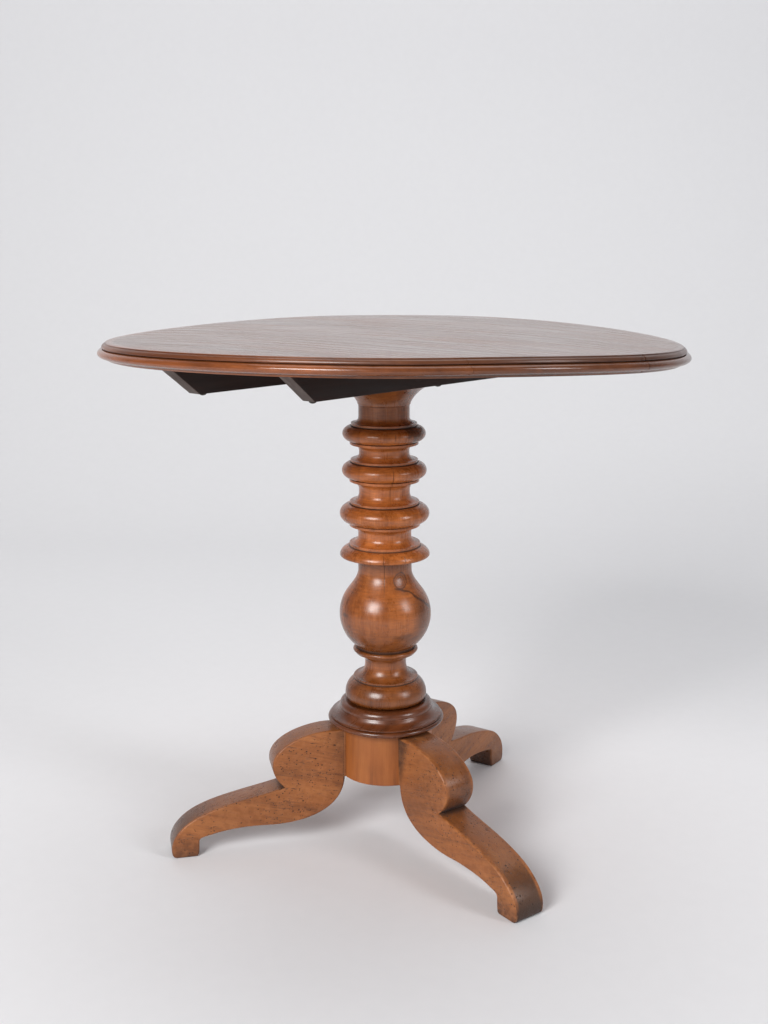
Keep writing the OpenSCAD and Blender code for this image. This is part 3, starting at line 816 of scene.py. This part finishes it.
def column():
    """The turned column with both tenons, from the top down, and its cracks."""
    z, tip, capital_r, ball, shoulder = BEARER_Z, high("column").z, 60, 331, 203.5
    lip_z, lip_top, lip_r = 414.5, 433, 62.2
    disc_r, waist_r, base_ring_r = 45.5, 29, 57.5
    s = [(0, tip), (TOP_TENON_R - 1, tip), (TOP_TENON_R, tip - 1), (TOP_TENON_R, z), (capital_r - 0.7, z),
         (capital_r, z - 0.7), (capital_r, z - 5)]
    s += curve((58.5, z - 6), (50, z - 10), (41, z - 19), (36.5, z - 28))
    s += [(36.5, z - 28), (36, z - 30.5), (NECKS[0], z - 31.5), (NECKS[0], ring_upper(0) + 9)]
    s += arc(FILLETS[0] - 1, ring_upper(0) + 8, FILLETS[0] - 1 - NECKS[0], 8, 180, 270)
    s += ring(0) + below(0, FILLETS[2], ring_upper(1))
    s += ring(1) + below(1, FILLETS[4], ring_upper(2))
    s += ring(2) + below(2, FILLETS[6], lip_top)
    s += [(FILLETS[6], lip_top), (FILLETS[6], lip_top - 4)]
    s += curve((50, lip_z + 13.5), (55, lip_z + 12.5), (lip_r - 1.2, lip_z + 8.5), (lip_r, lip_z + 3))
    s += [(lip_r, lip_z + 3), (lip_r, lip_z + 1.2), (lip_r - 1, lip_z), (NECKS[4] + 4, lip_z)]
    s += arc(NECKS[4] + 4, lip_z - 4, 4, 4, 90, 180, 8)
    s += curve((NECKS[4], lip_z - 20), (NECKS[4], lip_z - 30), (44.6, ball + 44.8), (52.43, ball + 34.41))
    s += arc(0, ball, 64, 60, 35, -50, 80)
    s += [(disc_r - 5, ball - 49)] + arc(disc_r - 2.6, ball - 52.2, 2.6, 2.6, 90, -90, 14)
    s += arc(waist_r + 13, ball - 69, 13, 12, 90, 180, 14)
    s += arc(waist_r + 14.5, ball - 73, 14.5, 18, 180, 270, 24)
    s += [(44.9, shoulder + 36.4), (45.3, shoulder + 35.9), (45.3, shoulder + 34.2), (44.7, shoulder + 33.4)]
    s += arc(36, shoulder + 10.5, base_ring_r - 36, 24.4, 66, 0, 40)
    s += arc(46, shoulder + 10.5, base_ring_r - 46, 10.5, 0, -90, 20)
    s += [(FOOT_TENON_R, shoulder), (FOOT_TENON_R, HUB_Z + 0.6), (FOOT_TENON_R - 0.6, HUB_Z), (0, HUB_Z)]
    face = math.degrees(VIEW_AZ) - 90
    cracks = [(face + 12.5, 490, 548, 0.9), (face - 1.5, 366, 432, 0.9), (face + 16, 578, 592, 0.5),
              (face + 27, 415, 426, 0.6), (face + 128, 300, 392, 0.9), (face + 205, 520, 640, 0.8),
              (face - 70, 210, 232, 0.7)]
    spread = (-1.5, -0.85, -0.45, -0.2, 0, 0.2, 0.45, 0.85, 1.5)

    def dent(z, a):
        t = math.radians(a)
        lift = 0.14 * noise.noise(Vector((math.cos(t) * 1.3, math.sin(t) * 1.3, z * 0.02)))
        darkening = 0.0
        for centre, z0, z1, depth in cracks:
            if z0 < z < z1:
                off = abs((a - centre + 180) % 360 - 180)
                fade = math.sin(math.pi * (z - z0) / (z1 - z0)) ** 0.5
                if off < 0.5:
                    lift -= depth * fade * (1 - off / 0.5)
                    darkening = 0.7 * fade * (1 - off)
        return lift, darkening

    extra = [round(c[0] + o, 4) for c in cracks for o in spread]
    verts, faces, dirt_and_shade = turned(resample(s, 1.3, keep=30), 180, extra, dent)
    verts = [Vector(v) + lean(v[2]) for v in verts]
    make("turned_column", verts, faces, "stand", ["column"], TURNED_WOOD, 30, dirt_and_shade)


def collar():
    """The moulded collar, drawn from the bottom up and turned from the top down."""
    root, z, bead = COLLAR_R - 5, HUB_TOP, 3.4
    ledge = z + 2 * bead
    s = [(FOOT_BORE_R, z), (root - 1, z)] + arc(COLLAR_R - bead, z + bead, bead, bead, -90, 90, 24)
    s += [(root - 0.6, ledge + 0.1)] + arc(root, ledge + 1.7, 1.8, 1.6, -60, 90, 8)
    s += curve((root - 1.5, ledge + 3.8), (root - 6.5, ledge + 5), (root - 10, ledge + 8),
               (root - 11.3, COLLAR_TOP - 10))
    s += arc(root - 19.5, COLLAR_TOP - 8, 8, 8, -12, 90, 20)
    s += [(root - 21.4, COLLAR_TOP - 0.3), (root - 23, COLLAR_TOP - 1), (FOOT_BORE_R, COLLAR_TOP - 1)]
    verts, faces, dirt_and_shade = turned(resample(s, 0.9, True, 30)[::-1], 240)
    verts = [Vector(v) + lean(v[2]) for v in verts]
    make("collar", verts, faces, "stand", ["base_collar"], COLLAR_WOOD, 30, dirt_and_shade)


# --------------------------------------------------------------- hub and legs

TONGUE_DEPTH = 18
TONGUE_TOP = 162
LEG_HALF = {"front": 24, "left": 21, "rear": 21}                  # half of a leg's thickness
NOTCH_R, NOTCH_Z = 152, 92                     # the notch under a leg's scroll


def tongue(gap):
    """The dovetail's outline, larger by gap for its socket."""
    deep = HUB_R - TONGUE_DEPTH - gap
    return [(deep, -14 - gap), (HUB_R - 1, -10 - gap), (HUB_R + 8, -10 - gap),
            (HUB_R + 8, 10 + gap), (HUB_R - 1, 10 + gap), (deep, 14 + gap)]


def turned_by(angle):
    """Places points that lie along X at an angle round the column."""
    c, s = math.cos(angle), math.sin(angle)
    return lambda x, y, z: (x * c - y * s, AXIS_Y + x * s + y * c, z)


def leg_angle(name):
    x, y = FEET["foot_" + name][:2]
    return math.atan2(y / MM - AXIS_Y, x / MM)


def hub():
    """The plain hub with a socket for each leg."""
    s = [(FOOT_BORE_R, HUB_TOP), (HUB_R - 1, HUB_TOP), (HUB_R, HUB_TOP - 1)]
    s += [(HUB_R, HUB_TOP - 6 * i) for i in range(1, 13)]
    s += [(HUB_R, HUB_Z + 1.2), (HUB_R - 1.2, HUB_Z), (FOOT_BORE_R, HUB_Z)]
    verts, faces, dirt_and_shade = turned(s, 240)
    # Painted shade on the top of the hub, under the collar.
    dirt_and_shade = [max(g, 0.55 * max(0, 1 - (HUB_TOP - v[2]) / 9)) for g, v in zip(dirt_and_shade, verts)]
    obj = make("hub", verts, faces, "stand", ["leg_hub"], HUB_WOOD, 35, dirt_and_shade)
    sockets = [solid(tongue(0.15), HUB_Z - 2, TONGUE_TOP + 0.2, turned_by(leg_angle(name)))
               for name in LEG_HALF]
    cut(obj, *together(*sockets), 35)
    obj.location = lean(0) * MM


def leg_outline(name):
    """A leg from the side: its upper edge, scroll and foot, then back along its lower edge."""
    s = [(HUB_R - 8, 169.5)]
    s += curve((82, 169.5), (108, 170), (166, 156), (166.5, 123))
    s += curve((166.5, 123), (167, 111), (159, 98), (150, 90))
    s += curve((150, 90), (185, 80), (235, 75), (272, 58))
    s += curve((272, 58), (295, 47), (310, 29), (309.5, 12))
    s += curve((309.5, 12), (309.5, 5), (308, 1), (304, 0))
    s += [(304, 0)] + curve((276, 0), (274, 0), (272, 2), (272, 5))
    s += curve((272, 5), (271, 12), (271, 18), (271, 24)) + curve((271, 24), (269, 27), (264, 28), (258, 29))
    s += curve((258, 29), (235, 35.5), (205, 37.5), (180, 36))
    s += curve((180, 36), (135, 33), (68, 42), (64, 98))
    s += [(64, 98), (58, 99)]
    if name == "rear":
        return [(r + 7 * share(r, 190, 280), z + 5 * share(r, 150, 210) * share(z, 0, 24)) for r, z in s]
    if name == "front":
        return [(r - 3.5 * share(r, 230, 290), z) for r, z in s]
    return s


def leg(name):
    """A leg built along X, cut to the hub, given its tongue and turned into place."""
    turn = leg_angle(name)
    half = LEG_HALF[name]
    outline = resample(leg_outline(name), 4, True, 40)

    def place(r, z, w):
        return r, w + 0.5 * noise.noise(Vector((r * 0.02, z * 0.02, turn))), z

    verts, faces = rounded(outline, half, 2.6, place, 5)
    dirt_and_shade = []
    # Darker near the floor, on the front foot's toe and at the joint with the hub: soiling and a dark joint.
    for r, w, z in verts:
        darkening = 0.45 * max(0.0, 1 - z / 20) + 0.5 * max(0.0, 1 - (r - HUB_R) / 3)
        if abs(w) < half - 1.5:
            # Painted shade in the notch under the scroll.
            notch = math.hypot(r - NOTCH_R, z - NOTCH_Z)
            darkening += 0.9 * max(0.0, 1 - notch / 11)
            if r > 285 and name == "front":
                darkening += 0.8 * max(0.0, 1 - z / 42)
        dirt_and_shade.append(min(1.0, darkening))
    mesh = mesh_of("leg_" + name + "_wood", verts, faces)
    mark(mesh, "dirt_and_shade", dirt_and_shade)
    mark(mesh, "seed", [turn * 2] * len(verts))
    obj = add_object("scroll_leg_" + name, mesh)
    mesh.materials.append(LEG_WOOD)
    settle(obj, 42)
    cut(obj, *rod((0, 0, 130), (0, 0, 1), HUB_R + 0.5, 100, 240), 42)
    ends, sides = solid(tongue(0), HUB_Z + 0.1, TONGUE_TOP, lambda x, y, z: (min(x, HUB_R + 2), y, z))
    bm = bmesh.new()
    bm.from_mesh(obj.data)
    new = [bm.verts.new(Vector(p) * MM) for p in ends]
    for face in sides:
        bm.faces.new([new[i] for i in face])
    bm.to_mesh(obj.data)
    bm.free()
    settle(obj, 42)
    obj.location = (lean(0) + Vector((0, AXIS_Y, 0))) * MM
    obj.rotation_euler = (0, 0, turn)
    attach(obj, "stand")
    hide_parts("leg_" + name)


tabletop()
bearer("bearer_left")
bearer("bearer_right")
block()
column()
collar()
hub()
for side in LEG_HALF:
    leg(side)

FINISH = {"tenon_wedge": WEDGE_WOOD, "catch_bolt": BRIGHT_IRON, "catch_knob": BRIGHT_IRON,
          "pivot_pin_left": BRIGHT_IRON, "pivot_pin_right": BRIGHT_IRON}
for name, node in frame["nodes"].items():
    if not node.hide_render:
        if not node.data.materials:
            node.data.materials.append(IRON)
        for index in range(len(node.data.materials)):
            node.data.materials[index] = FINISH.get(name, IRON)


# --------------------------------------------------------------- studio

def backdrop():
    """A pale sheet that runs over the floor and up behind the table."""
    away = Vector((-VIEW_SIN, VIEW_COS, 0))
    side = Vector((VIEW_COS, VIEW_SIN, 0))
    near, far, bend, top, half = -4.5, 1.7, 1.6, 4.5, 6
    rise = [(near, 0.0)] + arc(far, bend, bend, bend, -90, 0, 30) + [(far + bend, top)]
    verts, faces = [], []
    for d, z in rise:
        for w in (-half, half):
            verts.append(away * d + side * w + Vector((0, 0, z)))
    for i in range(len(rise) - 1):
        faces.append([2 * i, 2 * i + 1, 2 * i + 3, 2 * i + 2])
    mesh = bpy.data.meshes.new("backdrop")
    mesh.from_pydata(verts, [], faces)
    mesh.shade_smooth()
    obj = add_object("backdrop", mesh)
    s = Shader("paper")
    fleck = s.noise(s.point(), 40, 4)
    s.set(Base_Color=s.mix(s.span(fleck, 0.3, 0.7), tone(229, 229, 231), tone(230, 230, 232)), Roughness=0.75)
    s.set(Specular_IOR_Level=0.2)
    mesh.materials.append(s.material)


def softbox(name, turn, rise, distance, width, height, power, colour):
    """A lamp aimed at the table's middle; turn and rise are degrees from the viewpoint and the floor."""
    a = VIEW_AZ + math.radians(turn)
    e = math.radians(rise)
    back = Vector((math.sin(a) * math.cos(e), -math.cos(a) * math.cos(e), math.sin(e)))
    lamp = bpy.data.lights.new(name, "AREA")
    lamp.shape, lamp.size, lamp.size_y = "RECTANGLE", width, height
    lamp.energy, lamp.color = power, colour
    obj = add_object(name, lamp)
    obj.location = Vector((0, AXIS_Y * MM, 0.45)) + back * distance
    obj.rotation_euler = back.to_track_quat("Z", "Y").to_euler()


backdrop()
softbox("window_left", -33, 28, 5.0, 2.1, 2.1, 225, (1.0, 0.99, 0.98))
softbox("window_right", 60, 25, 5.0, 1.2, 2.1, 72, (0.96, 0.975, 1.0))
softbox("ceiling", 165, 70, 4.6, 4.6, 3.6, 84, (1.0, 0.99, 0.98))
world = bpy.data.worlds.new("studio")
bpy.context.scene.world = world
world.use_nodes = True
world.node_tree.nodes["Background"].inputs["Color"].default_value = (0.95, 0.96, 1.0, 1)
world.node_tree.nodes["Background"].inputs["Strength"].default_value = 0.17

lens = bpy.data.cameras.new("camera")
lens.sensor_fit = "VERTICAL"
lens.sensor_width = lens.sensor_height = 36
lens.lens = 43.6
lens.clip_start, lens.clip_end = 0.05, 50
camera = add_object("camera", lens)
pitch, eye_height, eye_distance = 0.2165, 0.842, 1.670
towards = Vector((-VIEW_SIN * math.cos(pitch), VIEW_COS * math.cos(pitch), -math.sin(pitch)))
camera.location = Vector((0, AXIS_Y * MM, eye_height)) + Vector((VIEW_SIN, -VIEW_COS, 0)) * eye_distance
camera.rotation_euler = towards.to_track_quat("-Z", "Y").to_euler()
bpy.context.scene.camera = camera
bpy.context.scene.view_settings.view_transform = "Standard"
